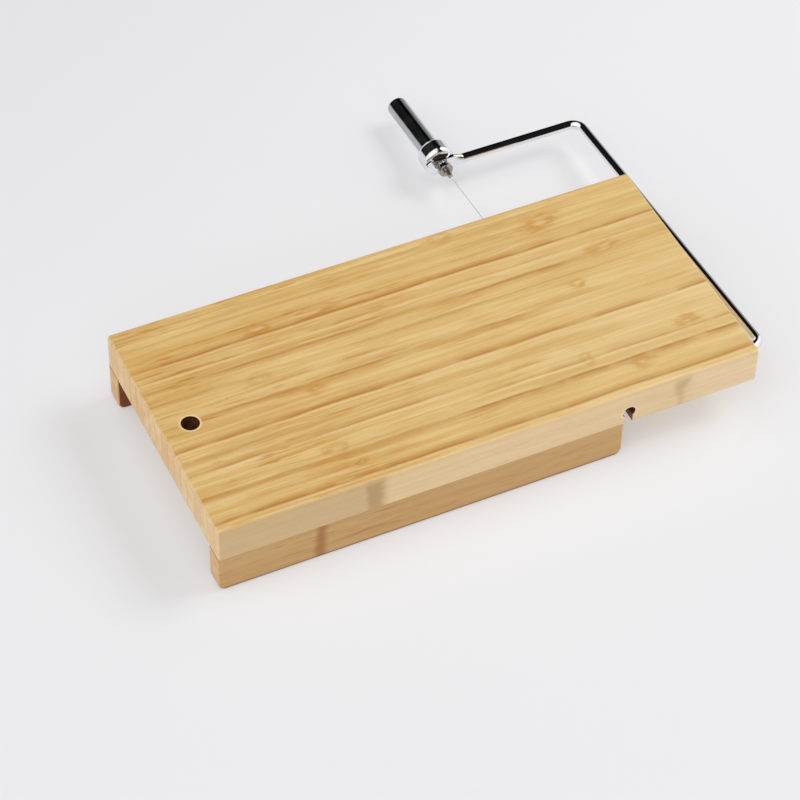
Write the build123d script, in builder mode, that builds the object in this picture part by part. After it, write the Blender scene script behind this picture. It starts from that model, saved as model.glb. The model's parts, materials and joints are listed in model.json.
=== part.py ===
"""Cheese wire cutter: a bamboo board with a hinged, wire-strung bow, lying on its two rails.

Millimetres, +Z up. The origin is the middle of the whole object's box, on the surface it stands on.
+X runs along the board towards the end where the bow comes out, +Y from the pivot edge to the handle.
"""

from build123d import *
import math
import os

os.makedirs("parts", exist_ok=True)

# --- driving dimensions -------------------------------------------------------------------------

# Board, edge-glued from bamboo strips
board_length = 250.0
board_thickness = 18.0
strip_widths = [4.0] + [7.0] * 16 + [5.0]
board_width = sum(strip_widths)
top_corner_radius = 1.6
edge_radius = 1.4
bottom_left_radius = 1.2
bottom_right_radius = 3.0

# Rails under the two long edges
rail_height = 19.0
rail_width = 10.0
rail_length = 186.0
rail_corner_radius = 3.5
rail_edge_radius = 1.2

# Hanging hole, measured from the board's left end and front face
hanging_hole_x = 13.0
hanging_hole_y = 59.5
hanging_hole_radius = 4.0

# Bow: one bent rod, hinged in a bore along the front edge
rod_radius = 2.2
pivot_from_front = 12.0
pivot_height = 25.0
running_clearance = 0.08
pivot_leg_end_x = 181.0
bore_end_gap = 0.5
leg_chamfer = 0.4
crosspiece_gap = 9.0
bend_radius = 5.6
bow_reach = 170.9
rest_angle = 3.9

# Flattened eye at the free end of the bow, which the wire's stud goes through
wire_x = 188.0
eye_thickness = 2.0
eye_half_height = 3.5
eye_tip = 8.2
eye_root = 6.0
eye_taper = 4.5
eye_rounding = 0.5
eye_hole_radius = 2.15

# Wire groove across the working face, and the access hole to the wire's anchor
groove_width = 3.6
groove_top = 27.0
access_hole_radius = 3.0
access_hole_depth = 15.5

# Wire and what holds it at each end
wire_radius = 0.25
wire_hole_radius = 0.45
wire_fit = 0.02
wire_end_depth = 1.0
bead_radius = 0.8
bead_length = 1.2
bead_chamfer = 0.2
bead_seat_radius = 0.9
bead_seat_depth = 1.4
nose_length = 4.3
nose_root_radius = 1.6
nose_tip_radius = 1.1
head_radius = 3.4
head_length = 2.8
head_chamfer = 0.3
head_gap = 1.6
shank_radius = 2.0
shank_length = 19.0
thread_clearance = 0.06

# Handle on the stud, outside the eye
handle_gap = 0.1
collar_radius = 7.6
collar_length = 9.8
collar_rounding = 2.4
grip_radius = 4.8
grip_bore_radius = 3.8
grip_length = 36.4
spigot_length = 9.0
spigot_fit = 0.02
cap_length = 1.2
cap_rounding = 0.7
cap_spigot_length = 5.0

# How far a cut starts outside the surface that it opens
cut_margin = 1.0

# --- places worked out from the dimensions ------------------------------------------------------

tilt = math.radians(rest_angle)
crosspiece_x = board_length + crosspiece_gap
board_underside = rail_height
board_top = rail_height + board_thickness
eye_front = bow_reach - eye_thickness / 2
eye_back = bow_reach + eye_thickness / 2
head_back = eye_front - head_gap
head_front = head_back - head_length
nose_tip = head_front - nose_length
collar_start = eye_back + handle_gap
grip_start = collar_start + collar_length
cap_start = grip_start + grip_length
cap_end = cap_start + cap_length

total_length = crosspiece_x + rod_radius
cap_arc_y = (cap_end - cap_rounding) * math.cos(tilt) + (grip_radius - cap_rounding) * math.sin(tilt)
total_width = pivot_from_front + cap_arc_y + cap_rounding

# The board's left end and front face in the object's own frame
left = -total_length / 2
front = -total_width / 2

# The bow's own plane: x along the board from its left end, y away from the pivot axis, and the
# plane's normal upwards. At rest the handle hangs below the pivot by the rest angle.
bow_plane = Plane(
    origin=(left, front + pivot_from_front, pivot_height),
    x_dir=(1, 0, 0),
    z_dir=(0, math.sin(tilt), math.cos(tilt)),
)

# The same plane with its origin where the wire's line meets the pivot axis: x is a radius about
# the wire, and y the distance from the pivot axis
wire_plane = Plane(
    origin=bow_plane.from_local_coords((wire_x, 0, 0)),
    x_dir=bow_plane.x_dir,
    z_dir=bow_plane.z_dir,
)
wire_axis = Axis(origin=wire_plane.origin, direction=wire_plane.y_dir)


def across_bow(x, distance):
    """The plane square to the bow's x direction, at a place in the bow's plane."""
    return Plane(
        origin=bow_plane.from_local_coords((x, distance, 0)),
        x_dir=bow_plane.y_dir,
        z_dir=bow_plane.x_dir,
    )


def along_wire(distance):
    """The plane square to the wire at a distance from the pivot, facing the handle."""
    return Plane(
        origin=wire_plane.from_local_coords((0, distance, 0)),
        x_dir=wire_plane.x_dir,
        z_dir=wire_plane.y_dir,
    )


def save(piece, name):
    """Label a finished sub-part and write its STEP file."""
    piece.part.label = name
    export_step(piece.part, f"parts/{name}.step")


# --- board --------------------------------------------------------------------------------------


def side_plane(y):
    """The upright plane across the board at a distance from its front face, facing forwards."""
    return Plane(origin=(left, front + y, 0), x_dir=(1, 0, 0), z_dir=(0, -1, 0))


def make_strip(near, far):
    """One bamboo strip between two distances from the board's front face."""
    with BuildPart() as strip:
        with BuildSketch(side_plane(far)) as outline:
            with Locations((board_length / 2, board_underside + board_thickness / 2)):
                Rectangle(board_length, board_thickness)
            fillet(outline.vertices().group_by(Axis.Y)[-1], radius=top_corner_radius)
        extrude(amount=far - near)

        # The two outer strips have rounded upright and upper edges on their outer side
        outer_faces = []
        if near == 0:
            outer_faces = strip.faces().sort_by(Axis.Y)[:1]
        if far == board_width:
            outer_faces = strip.faces().sort_by(Axis.Y)[-1:]
        for face in outer_faces:
            fillet(face.edges().sort_by(Axis.Z)[1:], radius=edge_radius)

        # Rounded lower corners at the two ends
        with BuildSketch(side_plane(far)) as underside:
            with Locations((board_length / 2, board_underside + board_thickness / 2)):
                Rectangle(board_length, board_thickness)
            left_corner, right_corner = underside.vertices().group_by(Axis.Y)[0].sort_by(Axis.X)
            fillet(left_corner, radius=bottom_left_radius)
            fillet(right_corner, radius=bottom_right_radius)
        extrude(amount=far - near, mode=Mode.INTERSECT)

        # Wire groove
        with BuildSketch(side_plane(far)):
            with Locations((wire_x, (board_underside + groove_top) / 2)):
                Rectangle(groove_width, groove_top - board_underside)
        extrude(amount=far - near, mode=Mode.SUBTRACT)

        # Bore for the pivot leg
        bore_radius = rod_radius + running_clearance
        if near < pivot_from_front + bore_radius and far > pivot_from_front - bore_radius:
            with BuildSketch(Plane.YZ.offset(left + pivot_leg_end_x - bore_end_gap)):
                with Locations((front + pivot_from_front, pivot_height)):
                    Circle(bore_radius)
            extrude(amount=board_length - pivot_leg_end_x + bore_end_gap, mode=Mode.SUBTRACT)

        # Access hole to the wire's anchor
        if near < access_hole_depth:
            with BuildSketch(side_plane(access_hole_depth)):
                with Locations((wire_x, pivot_height)):
                    Circle(access_hole_radius)
            extrude(amount=access_hole_depth, mode=Mode.SUBTRACT)

        # Hanging hole
        if near < hanging_hole_y + hanging_hole_radius and far > hanging_hole_y - hanging_hole_radius:
            with BuildSketch(Plane.XY.offset(board_underside)):
                with Locations((left + hanging_hole_x, front + hanging_hole_y)):
                    Circle(hanging_hole_radius)
            extrude(amount=board_thickness, mode=Mode.SUBTRACT)
    return strip


strip_start = 0.0
for number, strip_width in enumerate(strip_widths, start=1):
    save(make_strip(strip_start, strip_start + strip_width), f"board_strip_{number:02d}")
    strip_start += strip_width


# --- rails --------------------------------------------------------------------------------------


def make_rail(near, far):
    """A rail between two distances from the board's front face, with its corners rounded."""
    with BuildPart() as rail:
        with BuildSketch(side_plane(far)) as outline:
            with Locations((rail_length / 2, rail_height / 2)):
                Rectangle(rail_length, rail_height)
            fillet(outline.vertices().group_by(Axis.Y)[0], radius=rail_corner_radius)
        extrude(amount=far - near)
        for face in rail.faces().filter_by(Axis.Y):
            fillet(face.edges().sort_by(Axis.Z)[:-1], radius=rail_edge_radius)
    return rail


save(make_rail(0, rail_width), "front_rail")
save(make_rail(board_width - rail_width, board_width), "back_rail")


# --- bow ----------------------------------------------------------------------------------------

eye_plane = along_wire(eye_front)

with BuildPart() as bow_rod:
    # Flattened eye
    with BuildSketch(eye_plane):
        with Locations((-eye_tip + eye_half_height, 0)):
            Circle(eye_half_height)
        with Locations(((eye_root - eye_tip + eye_half_height) / 2, 0)):
            Rectangle(eye_root + eye_tip - eye_half_height, 2 * eye_half_height)
    extrude(amount=eye_thickness)
    eye_faces = bow_rod.faces().sort_by(wire_axis)
    eye_rim = eye_faces[0].edges() + eye_faces[-1].edges()
    fillet(eye_rim.sort_by(Axis.X)[:-2], radius=eye_rounding)

    # Taper from the flat eye to the round rod
    with BuildSketch(across_bow(wire_x + eye_root, bow_reach)):
        RectangleRounded(eye_thickness, 2 * eye_half_height, eye_rounding)
    with BuildSketch(across_bow(wire_x + eye_root + eye_taper, bow_reach)):
        Circle(rod_radius)
    loft()

    # Arm, crosspiece and pivot leg, as one bent rod
    with BuildLine(bow_plane) as rod_path:
        FilletPolyline(
            (wire_x + eye_root + eye_taper, bow_reach),
            (crosspiece_x, bow_reach),
            (crosspiece_x, 0),
            (pivot_leg_end_x, 0),
            radius=bend_radius,
        )
    with BuildSketch(across_bow(wire_x + eye_root + eye_taper, bow_reach)):
        Circle(rod_radius)
    sweep(path=rod_path.line)
    leg_end = bow_plane.from_local_coords((pivot_leg_end_x, 0, 0))
    chamfer(bow_rod.edges().filter_by(GeomType.CIRCLE).sort_by_distance(leg_end)[0], length=leg_chamfer)

    # Hole for the stud, and the wire's cross hole with a seat for its bead
    with BuildSketch(along_wire(eye_front - cut_margin)):
        Circle(eye_hole_radius)
    extrude(amount=eye_thickness + 2 * cut_margin, mode=Mode.SUBTRACT)
    with BuildSketch(along_wire(-rod_radius - cut_margin)):
        Circle(wire_hole_radius)
    extrude(amount=2 * (rod_radius + cut_margin), mode=Mode.SUBTRACT)
    with BuildSketch(along_wire(-rod_radius - cut_margin)):
        Circle(bead_seat_radius)
    extrude(amount=cut_margin + bead_seat_depth, mode=Mode.SUBTRACT)

save(bow_rod, "bow_rod")


# --- handle -------------------------------------------------------------------------------------

thread_bore_radius = shank_radius + thread_clearance
spigot_radius = grip_bore_radius - spigot_fit

with BuildPart() as grip_collar:
    with BuildSketch(wire_plane):
        with BuildLine():
            Line((thread_bore_radius, collar_start), (collar_radius - collar_rounding, collar_start))
            RadiusArc(
                (collar_radius - collar_rounding, collar_start),
                (collar_radius, collar_start + collar_rounding),
                -collar_rounding,
            )
            Line(
                (collar_radius, collar_start + collar_rounding),
                (collar_radius, grip_start - collar_rounding),
            )
            RadiusArc(
                (collar_radius, grip_start - collar_rounding),
                (collar_radius - collar_rounding, grip_start),
                -collar_rounding,
            )
            Polyline(
                (collar_radius - collar_rounding, grip_start),
                (spigot_radius, grip_start),
                (spigot_radius, grip_start + spigot_length),
                (thread_bore_radius, grip_start + spigot_length),
                (thread_bore_radius, collar_start),
            )
        make_face()
    revolve(axis=wire_axis)

save(grip_collar, "grip_collar")

with BuildPart() as grip_tube:
    with BuildSketch(along_wire(grip_start)):
        Circle(grip_radius)
        Circle(grip_bore_radius, mode=Mode.SUBTRACT)
    extrude(amount=grip_length)

save(grip_tube, "grip_tube")

with BuildPart() as grip_end_cap:
    with BuildSketch(along_wire(cap_start)):
        Circle(grip_radius)
    extrude(amount=cap_length)
    fillet(grip_end_cap.edges().sort_by(Axis.Y)[-1], radius=cap_rounding)
    with BuildSketch(along_wire(cap_start - cap_spigot_length)):
        Circle(spigot_radius)
    extrude(amount=cap_spigot_length)

save(grip_end_cap, "grip_end_cap")


# --- tensioner: stud, ferrule, wire and bead ----------------------------------------------------

wire_end = head_back - wire_end_depth
wire_start = -rod_radius + bead_seat_depth - bead_length
snug_radius = wire_radius + wire_fit

with BuildPart() as tension_stud:
    with BuildSketch(along_wire(head_front)):
        Circle(head_radius)
    extrude(amount=head_length)
    chamfer(tension_stud.edges().filter_by(GeomType.CIRCLE), length=head_chamfer)
    with BuildSketch(along_wire(head_back)):
        Circle(shank_radius)
    extrude(amount=shank_length)
    with BuildSketch(along_wire(head_front)):
        Circle(snug_radius)
    extrude(amount=wire_end - head_front, mode=Mode.SUBTRACT)

save(tension_stud, "tension_stud")

with BuildPart() as wire_ferrule:
    with BuildSketch(along_wire(nose_tip)):
        Circle(nose_tip_radius)
    with BuildSketch(along_wire(head_front)):
        Circle(nose_root_radius)
    loft()
    with BuildSketch(along_wire(nose_tip)):
        Circle(snug_radius)
    extrude(amount=nose_length, mode=Mode.SUBTRACT)

save(wire_ferrule, "wire_ferrule")

with BuildPart() as cutting_wire:
    with BuildSketch(along_wire(wire_start)):
        Circle(wire_radius)
    extrude(amount=wire_end - wire_start)

save(cutting_wire, "cutting_wire")

with BuildPart() as anchor_bead:
    with BuildSketch(along_wire(wire_start)):
        Circle(bead_radius)
    extrude(amount=bead_length)
    chamfer(anchor_bead.edges().filter_by(GeomType.CIRCLE), length=bead_chamfer)
    with BuildSketch(along_wire(wire_start)):
        Circle(snug_radius)
    extrude(amount=bead_length, mode=Mode.SUBTRACT)

save(anchor_bead, "anchor_bead")
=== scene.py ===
"""Looks of the cheese wire cutter: bamboo board and rails, chromed bow and handle, cutting wire.

Metres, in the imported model's frame: +X towards the end where the bow comes out, +Y towards the
handle, +Z up, with the origin on the floor in the middle of the whole object. The bamboo's marks
are placed in millimetres from the board's left end, its front face and its underside.
"""

import json
import math
import random

import bmesh
import bpy
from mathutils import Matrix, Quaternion, Vector


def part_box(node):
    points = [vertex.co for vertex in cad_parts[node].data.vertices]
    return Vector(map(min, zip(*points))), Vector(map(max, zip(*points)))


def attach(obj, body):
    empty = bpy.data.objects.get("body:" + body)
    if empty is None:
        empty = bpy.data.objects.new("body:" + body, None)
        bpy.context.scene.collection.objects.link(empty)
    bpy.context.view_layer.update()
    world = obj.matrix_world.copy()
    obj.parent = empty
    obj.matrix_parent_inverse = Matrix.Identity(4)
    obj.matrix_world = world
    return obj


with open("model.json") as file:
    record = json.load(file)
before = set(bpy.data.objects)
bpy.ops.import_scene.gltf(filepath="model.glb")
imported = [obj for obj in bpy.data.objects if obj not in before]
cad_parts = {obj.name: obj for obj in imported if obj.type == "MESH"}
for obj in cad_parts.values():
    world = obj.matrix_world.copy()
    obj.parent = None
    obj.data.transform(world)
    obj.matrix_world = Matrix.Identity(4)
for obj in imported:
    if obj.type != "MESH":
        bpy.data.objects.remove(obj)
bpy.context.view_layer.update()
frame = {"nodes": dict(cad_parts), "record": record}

MM = 0.001

board_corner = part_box("board_strip_01")[0]

# --- camera -------------------------------------------------------------------------------------

VIEW_AZIMUTH = -26.2
VIEW_ELEVATION = 46.9
VIEW_ROLL = 1.5
VIEW_DISTANCE = 1.323
VIEW_TARGET = Vector((board_corner.x + 0.1048, board_corner.y + 0.0502, 0.020))
LENS = 140.2
SENSOR_WIDTH = 36.0
NEAREST = 0.05
FARTHEST = 20.0


def make_camera():
    """The photograph's view: from the front left, looking down at the board."""
    azimuth = math.radians(VIEW_AZIMUTH)
    elevation = math.radians(VIEW_ELEVATION)
    back = Vector(
        (
            math.sin(azimuth) * math.cos(elevation),
            -math.cos(azimuth) * math.cos(elevation),
            math.sin(elevation),
        )
    )
    camera = bpy.data.objects.new("camera", bpy.data.cameras.new("camera"))
    camera.data.sensor_width = SENSOR_WIDTH
    camera.data.lens = LENS
    camera.data.clip_start = NEAREST
    camera.data.clip_end = FARTHEST
    camera.location = VIEW_TARGET + back * VIEW_DISTANCE
    camera.rotation_mode = "QUATERNION"
    level = (-back).to_track_quat("-Z", "Y")
    camera.rotation_quaternion = level @ Quaternion((0, 0, 1), math.radians(VIEW_ROLL))
    bpy.context.scene.collection.objects.link(camera)
    bpy.context.scene.camera = camera


make_camera()


# --- node helpers -------------------------------------------------------------------------------


class Tree:
    """A short way to write shader nodes: a value is a number, a colour or another node's output."""

    def __init__(self, tree):
        self.tree = tree
        tree.nodes.clear()

    def node(self, kind, inputs=(), output=0):
        made = self.tree.nodes.new(kind)
        for name, value in dict(inputs).items():
            self.put(made.inputs[name], value)
        return made.outputs[output]

    def put(self, socket, value):
        if isinstance(value, bpy.types.NodeSocket):
            self.tree.links.new(value, socket)
        elif isinstance(value, (tuple, list)) and len(value) == 3 and socket.type == "RGBA":
            socket.default_value = (*value, 1.0)
        else:
            socket.default_value = value

    def math(self, operation, first, second=0.0, third=0.0):
        made = self.tree.nodes.new("ShaderNodeMath")
        made.operation = operation
        for socket, value in zip(made.inputs, (first, second, third)):
            self.put(socket, value)
        return made.outputs[0]

    def times(self, *values):
        result = values[0]
        for value in values[1:]:
            result = self.math("MULTIPLY", result, value)
        return result

    def most(self, *values):
        result = values[0]
        for value in values[1:]:
            result = self.math("MAXIMUM", result, value)
        return result

    def smooth(self, value, low, high, to_low=0.0, to_high=1.0):
        """value between low and high, smoothly, onto to_low and to_high."""
        made = self.tree.nodes.new("ShaderNodeMapRange")
        made.interpolation_type = "SMOOTHSTEP"
        for socket, number in zip(made.inputs[:5], (value, low, high, to_low, to_high)):
            self.put(socket, number)
        return made.outputs[0]

    def within(self, value, low, high, edge):
        """1 between low and high, and 0 further than edge past either."""
        rise = self.smooth(value, low - edge, low)
        return self.times(rise, self.smooth(value, high, high + edge, 1.0, 0.0))

    def vector(self, operation, first, second, third=(0, 0, 0), output=0):
        made = self.tree.nodes.new("ShaderNodeVectorMath")
        made.operation = operation
        for socket, value in zip(made.inputs, (first, second, third)):
            self.put(socket, value)
        return made.outputs[output]

    def distance(self, first, second):
        return self.vector("DISTANCE", first, second, output="Value")

    def noise(self, vector, detail=1.0):
        inputs = {"Vector": vector, "Scale": 1.0, "Detail": detail, "Roughness": 0.5}
        return self.node("ShaderNodeTexNoise", inputs)

    def streaks(self, place, length, width, seed, detail=1.0):
        """Noise drawn out along X: its marks are about this long and this wide."""
        scale = (1.0 / length, 1.0 / width, 1.0 / width)
        offset = (seed * 3.17, seed * 1.31, seed * 2.03)
        return self.noise(self.vector("MULTIPLY_ADD", place, scale, offset), detail)

    def marks(self, place, kind, seed, detail=1.0, least=0.0):
        """The streaks of one kind, from least where there is none to 1 where it shows in full."""
        length, width, start, full = kind
        return self.smooth(self.streaks(place, length, width, seed, detail), start, full, least, 1.0)

    def mix(self, factor, first, second):
        made = self.tree.nodes.new("ShaderNodeMix")
        made.data_type = "RGBA"
        made.clamp_factor = True
        self.put(made.inputs["Factor"], factor)
        self.put(made.inputs[6], first)
        self.put(made.inputs[7], second)
        return made.outputs[2]

    def join(self, x, y, z):
        return self.node("ShaderNodeCombineXYZ", {"X": x, "Y": y, "Z": z})

    def split(self, vector):
        """The three parts of a vector."""
        made = self.tree.nodes.new("ShaderNodeSeparateXYZ")
        self.put(made.inputs[0], vector)
        return made.outputs

    def bump(self, height, distance):
        inputs = {"Height": height, "Distance": distance, "Strength": 1.0}
        return self.node("ShaderNodeBump", inputs)

    def finish(self, **principled):
        """The Principled shader with these inputs, as the material's surface."""
        shader = self.tree.nodes.new("ShaderNodeBsdfPrincipled")
        for name, value in principled.items():
            self.put(shader.inputs[name.replace("_", " ")], value)
        out = self.tree.nodes.new("ShaderNodeOutputMaterial")
        self.tree.links.new(shader.outputs[0], out.inputs[0])


def new_material(name):
    material = bpy.data.materials.new(name)
    material.use_nodes = True
    return material, Tree(material.node_tree)


def wear(piece, material):
    """Give a piece or a CAD node its one material."""
    piece.data.materials.clear()
    piece.data.materials.append(material)


def tone(red, green, blue):
    """A colour given as the eye sees it, 0 to 255, as linear light."""
    return tuple((channel / 255.0) ** 2.2 for channel in (red, green, blue))


def blended(first, second, share):
    return tuple(a + (b - a) * share for a, b in zip(first, second))


# --- bamboo: colours and marks ------------------------------------------------------------------

PALE = tone(239, 209, 147)
CREAM = tone(241, 215, 156)
GOLDEN = tone(217, 170, 94)
BROWN = tone(192, 135, 56)
LINE = tone(184, 118, 40)
KNOT = tone(202, 144, 62)
# Burnt brown for the walls of the holes and the wire groove: partly tool scorch, partly painted shade
BURNT_AND_SHADE = tone(66, 14, 4)
# Pale for sanded edges, painted edge and rim highlights, knot middles and the pale side of glue lines
PALEST = tone(243, 217, 166)

# The glue lines that show, by their distance from the front face: stretches of the line along X,
# each with its start, its end and how dark it is
LINES = {
    4: [(-20, 120, 0.95), (120, 270, 0.8)],
    11: [(20, 90, 0.5)],
    18: [(-20, 120, 0.45), (120, 270, 0.9)],
    25: [(130, 270, 0.6)],
    32: [(-20, 160, 0.75)],
    39: [(-20, 45, 0.3)],
    46: [(-20, 270, 0.85)],
    53: [(-20, 60, 0.3)],
    60: [(16, 104, 0.7), (143, 165, 0.8)],
    67: [(48, 103, 0.6)],
    74: [(-20, 30, 0.35)],
    81: [(35, 108, 0.6), (140, 200, 0.75)],
    88: [(-20, 110, 0.75), (110, 270, 0.35)],
    95: [(-20, 270, 0.95)],
    102: [(70, 100, 0.3)],
    109: [(30, 120, 0.3)],
    116: [(-20, 60, 0.35)],
}

# How golden each strip is, from the front: 0 is pale and 1 is golden
STRIP_TONES = (
    0.20, 0.95, 0.15, 0.60, 0.20, 0.30, 0.00, 1.00, 0.50,
    0.45, 0.45, 0.60, 0.80, 0.30, 0.75, 0.95, 0.70, 0.45,
)

# Where the stem had a joint: place along and across the board, half the length and half the width
# of its swirl, and how strongly it shows
KNOTS = (
    (199.0, 107.5, 8.0, 5.5, 0.9),
    (60.0, 98.5, 5.5, 3.2, 0.8),
    (154.0, 117.5, 6.0, 3.0, 0.5),
    (49.0, 71.0, 5.0, 3.0, 0.5),
    (68.0, 56.5, 4.5, 2.6, 0.8),
    (197.5, 67.5, 3.0, 2.2, 0.9),
    (217.0, 83.5, 8.0, 3.0, 0.7),
    (230.0, 28.0, 5.0, 2.8, 0.8),
    (180.0, 25.0, 2.5, 4.5, 0.5),
    (201.0, 14.0, 5.5, 3.2, 0.7),
    (62.0, 22.0, 5.0, 3.0, 0.6),
    (69.0, 11.0, 3.0, 1.8, 0.8),
)

# Kinds of marks: how long and how wide they are, the noise level where one starts to show, and the
# level where it shows in full
BANDS = (130, 2.4, 0.34, 0.66)
THREADS = (38, 0.45, 0.32, 0.68)
FLECKS = (15, 1.2, 0.56, 0.70)
GLEAMS = (34, 1.1, 0.56, 0.72)
PATCHES = (42, 16, 0.38, 0.64)
PORES = (3.5, 0.28, 0.62, 0.74)
PLEATS = (55, 60, 0.36, 0.62)
KNOT_FIBRES = (7, 1.8, 0.36, 0.62)
LINE_GAPS = (17, 40, 0.32, 0.58)
END_CLOUDS = (40, 5, 0.35, 0.65)

# The slow and the quick wander of the fibres: its length and width, and how far it goes
SLOW = (75, 30)
SLOW_SWAY = 3.4
QUICK = (20, 9)
QUICK_SWAY = 0.9

# How squarely a face has to look along an axis to count as facing that way, not at all and in full
END_FACING = (0.75, 0.95)
SIDE_FACING = (0.75, 0.95)
FLAT_FACING = (0.6, 0.9)
FRONT_FACING = (-0.55, -0.85)


class Grain:
    """What every bamboo material starts from: places, directions and the marks of the fibres."""

    def __init__(self, t, seed):
        self.t = t
        coordinates = t.tree.nodes.new("ShaderNodeTexCoord")
        corner = tuple(-value / MM for value in board_corner)
        scale = (1 / MM,) * 3
        self.place = t.vector("MULTIPLY_ADD", coordinates.outputs["Object"], scale, corner)
        self.x, self.y, self.z = t.split(self.place)
        self.normal = t.split(coordinates.outputs["Normal"])
        self.end = t.smooth(t.math("ABSOLUTE", self.normal[0]), *END_FACING)
        self.flat = t.smooth(t.math("ABSOLUTE", self.normal[2]), *FLAT_FACING)

        self.slow = t.streaks(self.place, *SLOW, seed)
        self.quick = t.streaks(self.place, *QUICK, seed + 0.5)
        sway = t.math("MULTIPLY_ADD", self.slow, SLOW_SWAY, t.times(self.quick, QUICK_SWAY))
        bent = t.join(self.x, t.math("ADD", self.y, sway), t.math("ADD", self.z, sway))

        self.bands = t.marks(bent, BANDS, seed)
        self.threads = t.marks(bent, THREADS, seed + 7, detail=2.0)
        self.flecks = t.marks(bent, FLECKS, seed + 13)
        self.gleams = t.marks(bent, GLEAMS, seed + 17)
        self.patches = t.marks(self.place, PATCHES, seed + 19)
        self.pores = t.marks(bent, PORES, seed + 23)

    def reach(self, x=None, y=None, z=None):
        """How far a place is from the axis with these coordinates, along the one left out."""
        axis = (x, y, z)
        here = zip((self.x, self.y, self.z), axis)
        across = self.t.join(*(0.0 if given is None else own for own, given in here))
        return self.t.distance(across, tuple(given or 0.0 for given in axis))


# --- bamboo: knots, glue lines, holes and ends --------------------------------------------------

# A knot's parts, as shares of its half sizes from its middle outwards, with their strengths last
KNOT_CRUMPLE_SIZE = (7, 2.8)
KNOT_CRUMPLE = 1.6
KNOT_RING = (0.45, 0.80, 0.6)
KNOT_RING_STRENGTH = 0.62
KNOT_HALO = (0.6, 1.7, 0.28, 0.0)
KNOT_MIDDLE = (0.1, 0.7, 0.40, 0.0)


def knotted(t, grain, colour, knot):
    """The place where the stem had a joint: a pale middle, and browner fibres bent round it."""
    along, across, half_length, half_width, strength = knot
    away = t.distance(
        t.join(
            t.math("MULTIPLY", grain.x, 1 / half_length),
            t.math("MULTIPLY", grain.y, 1 / half_width),
            0.0,
        ),
        (along / half_length, across / half_width, 0.0),
    )
    crumple = t.streaks(grain.place, *KNOT_CRUMPLE_SIZE, along)
    crumple = t.math("MULTIPLY_ADD", crumple, KNOT_CRUMPLE, -KNOT_CRUMPLE / 2)
    away = t.math("ADD", away, crumple)
    shown = t.times(grain.flat, strength)
    bent = t.marks(grain.place, KNOT_FIBRES, along + 7)
    fibres = t.times(t.within(away, *KNOT_RING), bent, shown, KNOT_RING_STRENGTH)
    colour = t.mix(t.times(t.smooth(away, *KNOT_HALO), shown), colour, KNOT)
    colour = t.mix(t.times(t.smooth(away, *KNOT_MIDDLE), shown), colour, PALEST)
    return t.mix(fibres, colour, KNOT)


# A glue line: the length and width of its wander and how far that goes in all, how far in from its
# ends the line fades, and over what length
LINE_WANDER_SIZE = (24, 80)
LINE_WANDER = 1.4
LINE_END = 10
LINE_FADE = 20
# Its dark core, the shade on one side of it and the pale edge on the other: the distances between
# which each one goes from its full strength to none
LINE_CORE = (0.1, 1.15, 0.86, 0.0)
LINE_SHADE = (0.4, 3.4, 0.52, 0.0)
LINE_SHADE_START = (-0.2, 0.1)
LINE_PALE = (0.2, 1.0, 0.42, 0.0)
LINE_PALE_OFFSET = 1.5


def glue_line(t, grain, colour, distance, stretches, shade_side):
    """The line between two strips: brown, with a softer shade on one side and pale on the other."""
    shown = 0.0
    for start, end, strength in stretches:
        stretch = t.within(grain.x, start + LINE_END, end - LINE_END, LINE_FADE)
        shown = t.most(shown, t.times(stretch, strength))
    shown = t.times(shown, t.marks(grain.place, LINE_GAPS, distance, detail=2.0, least=0.35))
    wander = t.streaks(grain.place, *LINE_WANDER_SIZE, distance + 11)
    wander = t.math("MULTIPLY_ADD", wander, LINE_WANDER, -LINE_WANDER / 2)
    offset = t.math("ADD", wander, t.math("SUBTRACT", grain.y, distance))
    core = t.smooth(t.math("ABSOLUTE", offset), *LINE_CORE)
    beside = t.times(offset, shade_side)
    shade = t.times(t.smooth(beside, *LINE_SHADE_START), t.smooth(beside, *LINE_SHADE))
    away = t.math("ABSOLUTE", t.math("ADD", beside, LINE_PALE_OFFSET))
    colour = t.mix(t.times(t.smooth(away, *LINE_PALE), shown), colour, PALEST)
    return t.mix(t.times(t.most(core, shade), shown), colour, LINE)


# The CAD board's holes and its wire groove
HANGING_HOLE = (13.0, 59.5)
HANGING_RADIUS = 4.0
WIRE_X = 188.0
PIVOT_Y = 12.0
PIVOT_Z = 6.0
ACCESS_RADIUS = 3.0
ACCESS_DEPTH = 15.5
PIVOT_RADIUS = 2.28
PIVOT_LEG_END = 180.0
GROOVE_HALF_WIDTH = 1.8
GROOVE_DEPTH = 8.0

# A wall is darkened, by tool scorch and painted shade, until it is this far past the hole's size, and
# not at all beyond the second
WALL = (0.02, 0.10)
GROOVE_ROOF = (0.05, 0.15)
GROOVE_STRENGTH = 0.8


def crosses(near, far, middle, radius):
    """Whether the strip between near and far reaches into a hole."""
    return near < middle + radius and far > middle - radius


def walls(t, reach, radius, strength=1.0):
    """strength on the wall of a hole and inside it, and 0 outside."""
    return t.smooth(reach, radius + WALL[0], radius + WALL[1], strength, 0.0)


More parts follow.
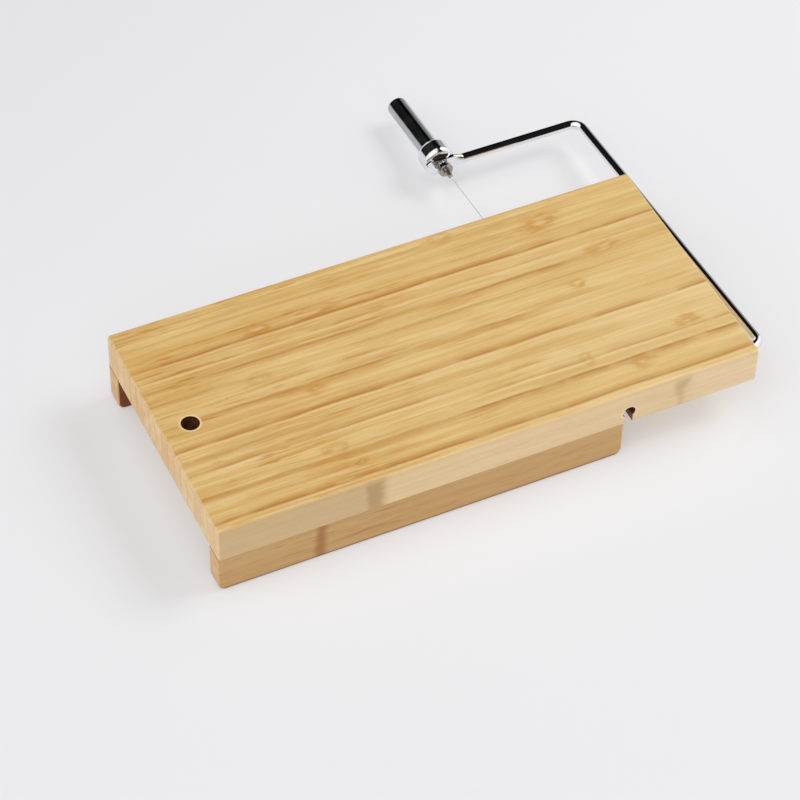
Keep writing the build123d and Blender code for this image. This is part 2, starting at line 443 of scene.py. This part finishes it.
def scorch_and_shade(t, grain, near, far):
    """The cut and drilled walls in one strip: 1 where they are darkened, partly tool scorch and partly
    painted shade in the holes and the groove.
    """
    marks = 0.0
    if crosses(near, far, HANGING_HOLE[1], HANGING_RADIUS):
        reach = grain.reach(x=HANGING_HOLE[0], y=HANGING_HOLE[1])
        marks = t.most(marks, walls(t, reach, HANGING_RADIUS))
    if near < ACCESS_DEPTH:
        behind_face = t.smooth(grain.y, 0.1, 0.6)
        inside = walls(t, grain.reach(x=WIRE_X, z=PIVOT_Z), ACCESS_RADIUS)
        marks = t.most(marks, t.times(inside, behind_face))
    if crosses(near, far, PIVOT_Y, PIVOT_RADIUS):
        along_leg = t.smooth(grain.x, PIVOT_LEG_END, PIVOT_LEG_END + 1)
        inside = walls(t, grain.reach(y=PIVOT_Y, z=PIVOT_Z), PIVOT_RADIUS)
        marks = t.most(marks, t.times(inside, along_leg))
    across = t.math("ABSOLUTE", t.math("SUBTRACT", grain.x, WIRE_X))
    groove = walls(t, across, GROOVE_HALF_WIDTH, GROOVE_STRENGTH)
    roof = t.smooth(grain.z, GROOVE_DEPTH + GROOVE_ROOF[0], GROOVE_DEPTH + GROOVE_ROOF[1], 1.0, 0.0)
    return t.most(marks, t.times(groove, roof))


END_DOT_SIZE = 0.5
END_DOT_LEVELS = (0.52, 0.70)
END_DOT_STRENGTH = 0.30
END_CLOUD_STRENGTH = 0.5


def end_grain(t, grain, colour, light, dark, seed):
    """The cut ends: the fibre bundles show as small brown dots."""
    y, z = (t.math("MULTIPLY", part, 1 / END_DOT_SIZE) for part in (grain.y, grain.z))
    place = t.vector("ADD", t.join(0.0, y, z), (seed, seed * 1.7, seed * 0.9))
    dots = t.smooth(t.noise(place), *END_DOT_LEVELS)
    cloud = t.marks(grain.place, END_CLOUDS, seed + 41)
    cut = t.mix(t.times(cloud, END_CLOUD_STRENGTH), light, dark)
    cut = t.mix(t.times(dots, END_DOT_STRENGTH), cut, BROWN)
    return t.mix(grain.end, colour, cut)


ROUGHNESS = 0.40
ROUGHER_PATCHES = 0.10
ROUGHER_THREADS = 0.16
THREAD_HEIGHT = 0.6
PORE_DEPTH = 0.8
RELIEF = 0.05 * MM


def surface(t, grain, colour):
    """Satin, slightly oiled bamboo with fine open grain."""
    relief = t.math("SUBTRACT", t.times(grain.threads, THREAD_HEIGHT), t.times(grain.pores, PORE_DEPTH))
    gloss = t.math("MULTIPLY_ADD", grain.patches, ROUGHER_PATCHES, ROUGHNESS)
    t.finish(
        Base_Color=colour,
        Roughness=t.math("MULTIPLY_ADD", grain.threads, ROUGHER_THREADS, gloss),
        Specular_IOR_Level=0.32,
        Normal=t.bump(relief, RELIEF),
    )


# How strongly the rounded edges are paled, for sanding wear and painted highlight, along the board from
# either end inwards
EDGE_PALE_LEFT = (0.0, 4.0, 0.45, 0.12)
EDGE_PALE_RIGHT = (246.0, 250.0, 0.0, 0.6)


def edges_sanded_and_highlit(t, grain, colour):
    """Paler along the rounded edges, partly where they were sanded through and partly as painted
    highlight where they catch the light, and most at the two ends.
    """
    steepest = t.most(*(t.math("ABSOLUTE", part) for part in grain.normal))
    rounded = t.smooth(steepest, 0.97, 0.80)
    strength = t.most(t.smooth(grain.x, *EDGE_PALE_LEFT), t.smooth(grain.x, *EDGE_PALE_RIGHT))
    return t.mix(t.times(rounded, strength), colour, PALEST)


# --- bamboo: the board's strips -----------------------------------------------------------------

# How far the border between pale and brown wanders across a strip, how sharp it is, and between
# what it is drawn for each strip how strongly it shows
SKIN_WANDER = 2.0
PLEAT_SHARPNESS = 2.2
PLEAT_DRAW = (0.35, 0.8)
# How far a strip's own tone gives way to pale and to golden where its bands are weak and strong
PALE_SHARE = 0.6
GOLDEN_SHARE = 0.9
# How strongly each mark colours a strip
BAND_SHARE = 0.6
PATCH_SHARE = 0.35
PLEAT_STRENGTH = 0.85
GLEAM_STRENGTH = 0.5
THREAD_STRENGTH = 0.11
PORE_STRENGTH = 0.08
# Flecks are stronger towards the left and the back, and cream towards the right, most in front
FLECK_RANGE = (110, -40, 0.35, 0.8)
CREAM_RANGE = (50, 250)
CREAM_IN_FRONT = 0.40
CREAM_BEHIND = 0.25
FRONT_PART = 50

# The cut ends: each strip's two tones lie between these, lightest first
END_LIGHT = (tone(244, 214, 164), tone(230, 188, 140))
END_DARK = (tone(236, 200, 146), tone(218, 172, 118))
# The seams between the cut ends: how wide they are, and between what their strength is drawn
SEAM_FADE = (0.1, 0.7)
SEAM_DRAW = (0.15, 0.55)
BURN_AND_SHADE_SHARE = 0.2

# Painted highlights on the eased rims of the hanging hole and the access hole
RIM_HIGHLIGHT_STRENGTH = 0.7
HANGING_RIM_HIGHLIGHT = (HANGING_RADIUS + 0.1, HANGING_RADIUS + 0.7, 0.4)
ACCESS_RIM_HIGHLIGHT = (ACCESS_RADIUS + 0.1, ACCESS_RADIUS + 0.6, 0.5)
ACCESS_RIM_HIGHLIGHT_STRENGTH = 0.6

# The front face is the stem's smooth inner side: two joints cross it, and it is greyer left of the
# first. Each joint has its place along the board, its half width at the top and at the underside,
# and how strongly it shows.
FACE_GREY = tone(211, 184, 142)
FACE_CREAM = tone(237, 211, 168)
FACE_PALE = tone(246, 222, 182)
FACE_JOINT = tone(186, 152, 106)
FACE_JOINTS = ((70.0, 4.6, 4.0, 1.0), (212.5, 4.6, 2.0, 0.65))
FACE_GREY_TO_CREAM = (73.0, 77.5)
FACE_CREAM_TO_PALE = (215.0, 222.0, 0.0, 0.8)
FACE_TOP_EDGE = (13.5, 16.5)
BOARD_THICKNESS = 18.0
JOINT_WOBBLE_SIZE = (9, 4)
JOINT_WOBBLE = 3.6
JOINT_CLOUD = (0.3, 0.55)
JOINT_EDGE = (-2.6, 0.8, 1.0, 0.0)


def front_face(t, grain):
    """The smooth beige front face of the first strip."""
    colour = t.mix(t.smooth(grain.x, *FACE_GREY_TO_CREAM), FACE_GREY, FACE_CREAM)
    colour = t.mix(t.smooth(grain.x, *FACE_CREAM_TO_PALE), colour, FACE_PALE)
    for mark, strength, tint in (
        (grain.slow, 0.22, blended(FACE_GREY, GOLDEN, 0.3)),
        (grain.bands, 0.16, GOLDEN),
        (grain.threads, 0.09, BROWN),
        (grain.flecks, 0.10, BROWN),
    ):
        colour = t.mix(t.times(mark, strength), colour, tint)
    colour = t.mix(t.smooth(grain.z, *FACE_TOP_EDGE, 0.0, 0.15), colour, GOLDEN)
    # Painted highlight on the eased rim of the access hole
    rim_highlight = t.within(grain.reach(x=WIRE_X, z=PIVOT_Z), *ACCESS_RIM_HIGHLIGHT)
    colour = t.mix(t.times(rim_highlight, ACCESS_RIM_HIGHLIGHT_STRENGTH), colour, FACE_PALE)
    for middle, top, bottom, strength in FACE_JOINTS:
        half = t.smooth(grain.z, 0.0, BOARD_THICKNESS, bottom, top)
        wobble = t.streaks(grain.place, *JOINT_WOBBLE_SIZE, middle)
        wobble = t.math("MULTIPLY_ADD", wobble, JOINT_WOBBLE, -JOINT_WOBBLE / 2)
        off = t.math("ABSOLUTE", t.math("ADD", t.math("SUBTRACT", grain.x, middle), wobble))
        inside = t.smooth(t.math("SUBTRACT", off, half), *JOINT_EDGE)
        below_edge = t.smooth(grain.z, *FACE_TOP_EDGE, 1.0, 0.25)
        cloud = t.math("MULTIPLY_ADD", grain.patches, *JOINT_CLOUD)
        colour = t.mix(t.times(inside, cloud, below_edge, strength), colour, FACE_JOINT)
    return colour


def board_bamboo(number, near, far, draw):
    """The material of one strip of the board, between two distances from the front face."""
    material, t = new_material(f"bamboo_strip_{number:02d}")
    seed = number * 1.37
    grain = Grain(t, seed)
    base = blended(PALE, GOLDEN, STRIP_TONES[number - 1])

    # Across the strip, from the pale inner wall of the stem to its browner skin
    skin_side = draw.choice((-1, 1))
    middle = t.math("ADD", grain.y, -SKIN_WANDER / 2)
    across = t.math("MULTIPLY_ADD", grain.quick, SKIN_WANDER, middle)
    skin = t.smooth(across, near, far) if skin_side > 0 else t.smooth(across, far, near)
    pleats = t.marks(grain.place, PLEATS, seed + 3, least=0.25)
    pleat = t.times(t.math("POWER", skin, PLEAT_SHARPNESS), pleats, draw.uniform(*PLEAT_DRAW))

    amount = t.math("MULTIPLY_ADD", grain.bands, BAND_SHARE, t.times(grain.patches, PATCH_SHARE))
    colour = t.mix(amount, blended(base, PALE, PALE_SHARE), blended(base, GOLDEN, GOLDEN_SHARE))
    fleck_strength = t.smooth(t.math("SUBTRACT", grain.x, grain.y), *FLECK_RANGE)
    cream = CREAM_IN_FRONT if near < FRONT_PART else CREAM_BEHIND
    for factor, tint in (
        (t.times(pleat, PLEAT_STRENGTH), BROWN),
        (t.times(grain.gleams, GLEAM_STRENGTH), CREAM),
        (t.times(grain.threads, THREAD_STRENGTH), BROWN),
        (t.times(grain.flecks, grain.patches, fleck_strength), BROWN),
        (t.times(grain.pores, PORE_STRENGTH), LINE),
        (t.smooth(grain.x, *CREAM_RANGE, 0.0, cream), CREAM),
    ):
        colour = t.mix(factor, colour, tint)
    for knot in KNOTS:
        if crosses(near, far, knot[1], 2 * knot[3]):
            colour = knotted(t, grain, colour, knot)
    for distance, stretches in LINES.items():
        if distance in (near, far):
            shade_side = 1 if distance % 3 else -1
            colour = glue_line(t, grain, colour, distance, stretches, shade_side)

    if number == 1:
        facing = t.smooth(grain.normal[1], *FRONT_FACING)
        colour = t.mix(facing, colour, front_face(t, grain))
    # Sanding wear and painted highlight along the rounded edges
    colour = edges_sanded_and_highlit(t, grain, colour)
    light = blended(*END_LIGHT, draw.uniform(0.0, 1.0))
    dark = blended(*END_DARK, draw.uniform(0.0, 1.0))
    colour = end_grain(t, grain, colour, light, dark, seed)
    seam_strength = draw.uniform(*SEAM_DRAW)
    for side in (near, far):
        off = t.math("ABSOLUTE", t.math("SUBTRACT", grain.y, side))
        seam = t.smooth(off, *SEAM_FADE, seam_strength, 0.0)
        colour = t.mix(t.times(seam, grain.end), colour, BROWN)
    # Scorch and painted shade darken the walls of the holes and the wire groove
    burn_and_shade = t.mix(grain.bands, BURNT_AND_SHADE, blended(BURNT_AND_SHADE, BROWN, BURN_AND_SHADE_SHARE))
    colour = t.mix(scorch_and_shade(t, grain, near, far), colour, burn_and_shade)
    # Painted highlight on the eased rim of the hanging hole
    if crosses(near, far, HANGING_HOLE[1], HANGING_RADIUS):
        rim_highlight = t.within(grain.reach(x=HANGING_HOLE[0], y=HANGING_HOLE[1]), *HANGING_RIM_HIGHLIGHT)
        colour = t.mix(t.times(rim_highlight, RIM_HIGHLIGHT_STRENGTH, grain.flat), colour, PALEST)
    surface(t, grain, colour)
    return material


draw = random.Random(7)
for number in range(1, 19):
    name = f"board_strip_{number:02d}"
    low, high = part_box(name)
    near = round((low.y - board_corner.y) / MM)
    far = round((high.y - board_corner.y) / MM)
    wear(frame["nodes"][name], board_bamboo(number, near, far, draw))


# --- bamboo: the rails --------------------------------------------------------------------------

RAIL_PALE = tone(206, 168, 116)
RAIL_GOLDEN = tone(190, 148, 92)
RAIL_JOINT = tone(150, 98, 46)
# Painted shade: dark brown for the contact shadow along the rails' foot, also mixed into the painted
# channel shade
RAIL_SHADE = tone(132, 78, 32)
RAIL_END_LIGHT = tone(226, 186, 140)
RAIL_END_DARK = tone(206, 160, 108)
# Painted shade for the rails' inner walls, in the channel under the board
CHANNEL_SHADE = tone(108, 60, 24)
RAIL_BAND_SHARE = 0.5
RAIL_SLOW_SHARE = 0.5
RAIL_THREAD_STRENGTH = 0.14
RAIL_FLECK_STRENGTH = 0.35
RAIL_JOINT_WOBBLE = 5.0
RAIL_JOINT_FADE = (0.4, 4.0, 1.0, 0.0)
RAIL_JOINT_CLOUD = (0.3, 0.35)
RAIL_PALE_RANGE = (60, 180, 0.0, 0.35)
RAIL_FOOT_SHADOW = (-18.3, -16.9, 0.9, 0.0)
CHANNEL_SHADE_SHARE = 0.45


def rail_bamboo(name, seed, joint_at, inner_side):
    """The material of a rail: darker bamboo, with painted shade on its inner wall facing the channel
    and a painted contact shadow along its foot.
    """
    material, t = new_material(f"bamboo_{name}")
    grain = Grain(t, seed)
    slow = t.times(grain.slow, RAIL_SLOW_SHARE)
    amount = t.math("MULTIPLY_ADD", grain.bands, RAIL_BAND_SHARE, slow)
    colour = t.mix(amount, RAIL_PALE, RAIL_GOLDEN)
    colour = t.mix(t.times(grain.threads, RAIL_THREAD_STRENGTH), colour, BROWN)
    colour = t.mix(t.times(grain.flecks, grain.patches, RAIL_FLECK_STRENGTH), colour, RAIL_JOINT)
    wobble = t.math("MULTIPLY_ADD", grain.quick, RAIL_JOINT_WOBBLE, -RAIL_JOINT_WOBBLE / 2)
    off = t.math("ABSOLUTE", t.math("ADD", t.math("SUBTRACT", grain.x, joint_at), wobble))
    cloud = t.math("MULTIPLY_ADD", grain.patches, *RAIL_JOINT_CLOUD)
    colour = t.mix(t.times(t.smooth(off, *RAIL_JOINT_FADE), cloud), colour, RAIL_JOINT)
    colour = end_grain(t, grain, colour, RAIL_END_LIGHT, RAIL_END_DARK, seed)
    colour = t.mix(t.smooth(grain.x, *RAIL_PALE_RANGE), colour, RAIL_PALE)
    # Painted contact shadow along the foot of the rail
    colour = t.mix(t.smooth(grain.z, *RAIL_FOOT_SHADOW), colour, RAIL_SHADE)
    # Painted shade on the inner wall, which faces the channel under the board
    wall = t.smooth(t.times(grain.normal[1], inner_side), *SIDE_FACING)
    channel_shade = t.mix(grain.bands, CHANNEL_SHADE, blended(CHANNEL_SHADE, RAIL_SHADE, CHANNEL_SHADE_SHARE))
    surface(t, grain, t.mix(wall, colour, channel_shade))
    return material


# Each rail: the seed of its noise, where along it the stem had a joint, and which side is its inner
RAILS = {
    "front_rail": (31.0, 45.5, 1),
    "back_rail": (37.0, 118.0, -1),
}
for name, settings in RAILS.items():
    wear(frame["nodes"][name], rail_bamboo(name, *settings))


# --- metal --------------------------------------------------------------------------------------


# Marks in the metal: how many of them there are to a millimetre, and at which levels of the noise
# they start and show in full
SMUDGES = 0.09
SMUDGE_LEVELS = (0.4, 0.7)
RIPPLES = 0.7
SCRATCHES = (0.4, 9.0, 9.0)
SCRATCH_LEVELS = (0.66, 0.78)
TARNISH = 0.9
TARNISH_SHARE = 0.3


def polished(name, base, roughness, smudge, scratch, ripple):
    """Polished metal, with faint smudges and scratches in its gloss and ripples in its surface."""
    material, t = new_material(name)
    coordinates = t.tree.nodes.new("ShaderNodeTexCoord")
    place = t.vector("MULTIPLY", coordinates.outputs["Object"], (1 / MM,) * 3)
    film = t.noise(t.vector("MULTIPLY", place, (SMUDGES,) * 3), detail=3.0)
    ripples = t.noise(t.vector("MULTIPLY", place, (RIPPLES,) * 3), detail=2.0)
    scratches = t.smooth(t.noise(t.vector("MULTIPLY", place, SCRATCHES)), *SCRATCH_LEVELS)
    gloss = t.math("MULTIPLY_ADD", t.smooth(film, *SMUDGE_LEVELS), smudge, roughness)
    tarnished = tuple(channel * TARNISH for channel in base)
    t.finish(
        Base_Color=t.mix(t.math("MULTIPLY", film, TARNISH_SHARE), base, tarnished),
        Metallic=1.0,
        Roughness=t.math("MULTIPLY_ADD", scratches, scratch, gloss),
        Normal=t.bump(ripples, ripple * MM),
    )
    return material


# Each metal: base colour, roughness, what smudges and scratches add to it, and the height of its
# ripples in mm
METALS = {
    "chrome": ((0.86, 0.87, 0.89), 0.035, 0.03, 0.06, 0.002),
    "grip_chrome": ((0.82, 0.83, 0.85), 0.10, 0.06, 0.10, 0.05),
    "grip_steel": ((0.50, 0.51, 0.52), 0.12, 0.06, 0.10, 0.05),
    "stud_steel": ((0.38, 0.36, 0.33), 0.16, 0.08, 0.1, 0.002),
    "wire_steel": ((0.95, 0.95, 0.96), 0.55, 0.05, 0.0, 0.002),
}
WORN_BY = {
    "chrome": ("bow_rod",),
    "grip_chrome": ("grip_collar",),
    "grip_steel": ("grip_tube", "grip_end_cap"),
    "stud_steel": ("tension_stud", "wire_ferrule"),
    "wire_steel": ("cutting_wire", "anchor_bead"),
}

metals = {name: polished(name, *settings) for name, settings in METALS.items()}
for metal, names in WORN_BY.items():
    for name in names:
        wear(frame["nodes"][name], metals[metal])


# --- thread on the tension stud -----------------------------------------------------------------

# From the pivot axis along the wire: the stud's head ends at HEAD_BACK, and the eye's far face is
# just past THREAD_END
HEAD_BACK = 168.3 * MM
THREAD_END = 171.7 * MM
THREAD_PITCH = 0.7 * MM
THREAD_ROOT = 1.96 * MM
THREAD_CREST = 2.12 * MM
THREAD_HALF_BASE = 0.3 * MM
THREAD_STEPS = 48
THREAD_RUN_OUT = THREAD_STEPS / 4
THREAD_LEAST = 0.02


def make_thread():
    """The right-handed ridge on the stud's shank, which runs out into it at both ends."""
    joints = {joint["name"]: joint for joint in frame["record"]["behaviour"]["joints"]}
    pivot = Vector(joints["handle_spin"]["pos_m"])
    along = Vector(joints["handle_spin"]["axis"]).normalized()
    side = Vector((1, 0, 0))
    up = along.cross(side)
    first = HEAD_BACK + THREAD_HALF_BASE
    last = THREAD_END - THREAD_HALF_BASE
    count = round((last - first) / THREAD_PITCH * THREAD_STEPS)
    shape = bmesh.new()
    rings = []
    for step in range(count + 1):
        angle = 2 * math.pi * step / THREAD_STEPS
        outwards = side * math.cos(angle) + up * math.sin(angle)
        middle = first + (last - first) * step / count
        height = max(THREAD_LEAST, min(1.0, step / THREAD_RUN_OUT, (count - step) / THREAD_RUN_OUT))
        crest = THREAD_ROOT + (THREAD_CREST - THREAD_ROOT) * height
        profile = (
            (middle - THREAD_HALF_BASE, THREAD_ROOT),
            (middle, crest),
            (middle + THREAD_HALF_BASE, THREAD_ROOT),
        )
        places = [pivot + along * place + outwards * radius for place, radius in profile]
        rings.append([shape.verts.new(place) for place in places])
    for near, far in zip(rings, rings[1:]):
        for corner in range(len(near)):
            after = (corner + 1) % len(near)
            shape.faces.new((near[corner], near[after], far[after], far[corner]))
    shape.faces.new(rings[0])
    shape.faces.new(reversed(rings[-1]))
    bmesh.ops.recalc_face_normals(shape, faces=shape.faces)
    mesh = bpy.data.meshes.new("stud_thread")
    shape.to_mesh(mesh)
    shape.free()
    thread = bpy.data.objects.new("stud_thread", mesh)
    bpy.context.scene.collection.objects.link(thread)
    wear(thread, metals["stud_steel"])
    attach(thread, "tensioner")


make_thread()


# --- floor, light and finish --------------------------------------------------------------------


FLOOR_HALF = 3.0
FLOOR_NEAR = (0.53, 0.53, 0.54)
# The colour of the painted shade at the back left of the floor
FLOOR_FAR = (0.46, 0.46, 0.475)
FLOOR_FAR_FROM = 0.35
FLOOR_GLOW = (0.98, 0.98, 1.0)
FLOOR_GLOW_STRENGTH = 0.35


def make_floor():
    """A white light table, large enough to fill every view, with painted shade making it a little
    darker at the back left.
    """
    mesh = bpy.data.meshes.new("floor")
    corners = [(x * FLOOR_HALF, y * FLOOR_HALF, 0) for x, y in ((-1, -1), (1, -1), (1, 1), (-1, 1))]
    mesh.from_pydata(corners, [], [(0, 1, 2, 3)])
    floor = bpy.data.objects.new("floor", mesh)
    bpy.context.scene.collection.objects.link(floor)
    material, t = new_material("floor")
    coordinates = t.tree.nodes.new("ShaderNodeTexCoord")
    x, y, _ = t.split(coordinates.outputs["Object"])
    # Painted shade: the floor darkens towards the back left
    away = t.smooth(t.math("MULTIPLY_ADD", x, -0.4, y), 0.0, FLOOR_FAR_FROM)
    t.finish(
        Base_Color=t.mix(away, FLOOR_NEAR, FLOOR_FAR),
        Roughness=0.8,
        Specular_IOR_Level=0.1,
        Emission_Color=FLOOR_GLOW,
        Emission_Strength=FLOOR_GLOW_STRENGTH,
    )
    wear(floor, material)


def soft_light(name, direction, distance, size, power):
    """A square softbox that faces the object from a direction."""
    lamp = bpy.data.lights.new(name, "AREA")
    lamp.shape = "SQUARE"
    lamp.size = size
    lamp.energy = power
    light = bpy.data.objects.new(name, lamp)
    towards = Vector(direction).normalized()
    light.location = towards * distance
    light.rotation_mode = "QUATERNION"
    light.rotation_quaternion = (-towards).to_track_quat("-Z", "Y")
    bpy.context.scene.collection.objects.link(light)


# The studio is white all round, apart from two black flags: bars that cross the sky where straight
# rods along X and along Y mirror it, which gives the chrome its black middle. Far to the right the
# flag along X is only grey.
STUDIO = 1.02
FLAG_X = 0.33
FLAG_Y = 0.70
FLAG_HALF_WIDTH = 0.16
FLAG_EDGE = 0.06
BLACK = 0.01
FAR_RIGHT = (0.40, 0.60, 0.0, 0.35)


def make_world():
    world = bpy.data.worlds.new("studio")
    world.use_nodes = True
    bpy.context.scene.world = world
    t = Tree(world.node_tree)
    x, y, _ = t.split(t.node("ShaderNodeTexCoord", output="Generated"))
    open_sky = []
    for coordinate, middle in ((x, FLAG_X), (y, FLAG_Y)):
        distance = t.math("ABSOLUTE", t.math("SUBTRACT", coordinate, middle))
        open_sky.append(t.smooth(distance, FLAG_HALF_WIDTH, FLAG_HALF_WIDTH + FLAG_EDGE, BLACK, 1.0))
    behind = t.most(open_sky[1], t.smooth(x, *FAR_RIGHT))
    level = t.times(open_sky[0], behind, STUDIO)
    background = t.node("ShaderNodeBackground", {"Color": (1.0, 1.0, 1.0), "Strength": level})
    out = t.tree.nodes.new("ShaderNodeOutputWorld")
    t.tree.links.new(background, out.inputs[0])


# Each softbox: direction, distance and side in metres, and power in watts
SOFTBOXES = {
    "right_softbox": ((0.66, -0.05, 0.75), 3.0, 1.2, 24.0),
    "left_softbox": ((-0.50, -0.34, 0.80), 4.0, 2.4, 18.0),
}

make_floor()
make_world()
for name, settings in SOFTBOXES.items():
    soft_light(name, *settings)

bpy.context.scene.view_settings.view_transform = "Standard"
